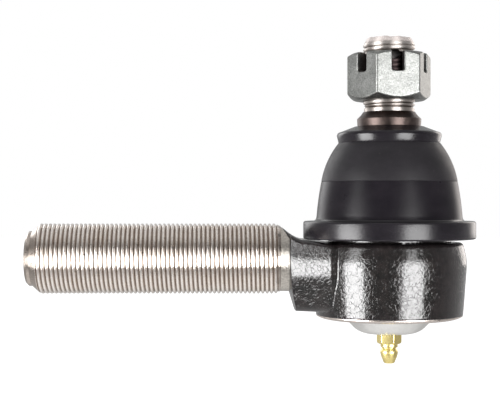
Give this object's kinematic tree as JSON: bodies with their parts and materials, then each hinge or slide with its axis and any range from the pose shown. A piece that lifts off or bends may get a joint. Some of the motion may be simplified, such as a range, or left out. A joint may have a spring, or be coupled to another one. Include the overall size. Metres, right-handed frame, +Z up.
{
  "type": "tie rod end",
  "caption": "Straight tie rod end: forged housing with a long threaded shank, tapered ball stud with slotted nut, rubber dust boot, domed cover plate and grease fitting.",
  "frame": {"origin": "centre of the stud's ball, where the stud's axis crosses the shank's axis", "axes": "+Z up the ball stud towards its thread; the threaded shank runs along -X; +Y completes the right-handed frame"},
  "size_m": [0.1621, 0.0622, 0.1186],
  "materials": {
    "black_paint": "gloss black paint over a forged skin",
    "cover_steel": "satin pressed steel",
    "stud_steel": "oiled, heat-treated steel",
    "zinc_plate": "bright zinc plate",
    "bearing_polymer": "matte acetal",
    "sintered_steel": "matte sintered steel",
    "spring_steel": "oil-tempered wire",
    "yellow_zinc": "yellow passivated zinc",
    "bare_steel": "machined bare steel",
    "boot_rubber": "satin moulded rubber"
  },
  "bodies": {
    "housing": {"housing": "black_paint", "cover_plate": "cover_steel", "grease_fitting": "yellow_zinc", "dust_boot": "boot_rubber", "boot_base_ring": "bare_steel", "preload_spring": "spring_steel", "grease_valve_spring": "spring_steel"},
    "pressure_seat": {"pressure_seat": "sintered_steel"},
    "lower_liner": {"lower_bearing_liner": "bearing_polymer"},
    "upper_liner": {"upper_bearing_liner": "bearing_polymer"},
    "stud": {"ball_stud": "stud_steel"},
    "nut": {"slotted_nut": "zinc_plate"},
    "valve_ball": {"grease_valve_ball": "bare_steel"}
  },
  "joints": [
    {"name": "seat_travel", "type": "slide", "parent": "housing", "child": "pressure_seat", "axis": [0, 0, 1], "range_m": [-0.0006, 0], "stiffness_N_per_m": 30000, "springref_m": 0.003, "deforming": ["preload_spring"]},
    {"name": "stud_swing_along_shank", "type": "hinge", "parent": "pressure_seat", "child": "lower_liner", "pos_m": [0, 0, 0], "axis": [0, 1, 0], "range_deg": [-15, 15], "deforming": ["dust_boot"]},
    {"name": "stud_swing_across_shank", "type": "hinge", "parent": "lower_liner", "child": "upper_liner", "pos_m": [0, 0, 0], "axis": [1, 0, 0], "range_deg": [-15, 15], "deforming": ["dust_boot"]},
    {"name": "stud_spin", "type": "hinge", "parent": "upper_liner", "child": "stud", "pos_m": [0, 0, 0], "axis": [0, 0, 1], "continuous": true},
    {"name": "nut_turn", "type": "hinge", "parent": "stud", "child": "nut", "pos_m": [0, 0, 0.06565], "axis": [0, 0, 1], "continuous": true},
    {"name": "valve_ball_travel", "type": "slide", "parent": "housing", "child": "valve_ball", "axis": [0, 0, 1], "range_m": [0, 0.001], "stiffness_N_per_m": 300, "springref_m": -0.0005, "deforming": ["grease_valve_spring"]}
  ]
}
